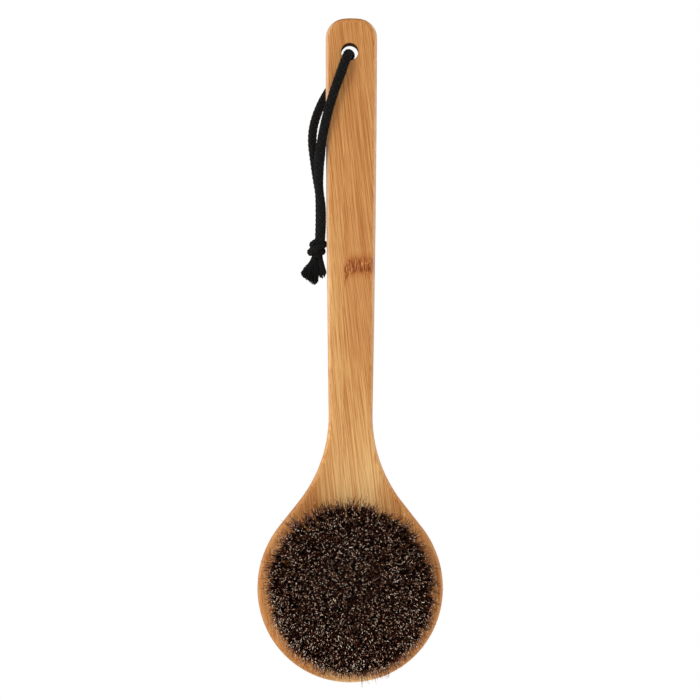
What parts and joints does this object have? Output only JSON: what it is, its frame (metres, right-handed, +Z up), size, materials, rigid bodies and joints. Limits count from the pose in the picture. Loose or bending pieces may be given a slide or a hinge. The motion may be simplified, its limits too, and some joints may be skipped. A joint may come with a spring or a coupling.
{
  "type": "body dry brush",
  "caption": "Long-handled bamboo brush with a round head of dark natural bristle tufts and a looped, knotted hanging cord through the handle's end.",
  "frame": {"origin": "centre of the hanging hole, halfway through the board", "axes": "+Z up the handle, away from the head; +X to the right as the bristles are looked at; the bristles point along -Y"},
  "size_m": [0.1031, 0.0376, 0.3693],
  "materials": {
    "bamboo": "satin",
    "bristle": "matte",
    "anchor_wire": "brushed",
    "cord_yarn": "matte"
  },
  "bodies": {
    "brush": {"face_strip_1": "bamboo", "face_strip_2": "bamboo", "face_strip_3": "bamboo", "face_strip_4": "bamboo", "face_strip_5": "bamboo", "face_strip_6": "bamboo", "back_strip_1": "bamboo", "back_strip_2": "bamboo", "back_strip_3": "bamboo", "back_strip_4": "bamboo", "back_strip_5": "bamboo", "back_strip_6": "bamboo", "tufts_ring_0": "bristle", "tufts_ring_1": "bristle", "tufts_ring_2": "bristle", "tufts_ring_3": "bristle", "tufts_ring_4": "bristle", "tufts_ring_5": "bristle", "tufts_ring_6": "bristle", "tufts_ring_7": "bristle", "anchors_ring_0": "anchor_wire", "anchors_ring_1": "anchor_wire", "anchors_ring_2": "anchor_wire", "anchors_ring_3": "anchor_wire", "anchors_ring_4": "anchor_wire", "anchors_ring_5": "anchor_wire", "anchors_ring_6": "anchor_wire", "anchors_ring_7": "anchor_wire"},
    "hanging_loop": {"hanging_cord": "cord_yarn", "cord_knot": "cord_yarn", "frayed_ends": "cord_yarn"}
  },
  "joints": [
    {"name": "cord_swing", "type": "hinge", "parent": "brush", "child": "hanging_loop", "pos_m": [0, 0, 0], "axis": [0, 1, 0], "range_deg": [0, 300]}
  ]
}
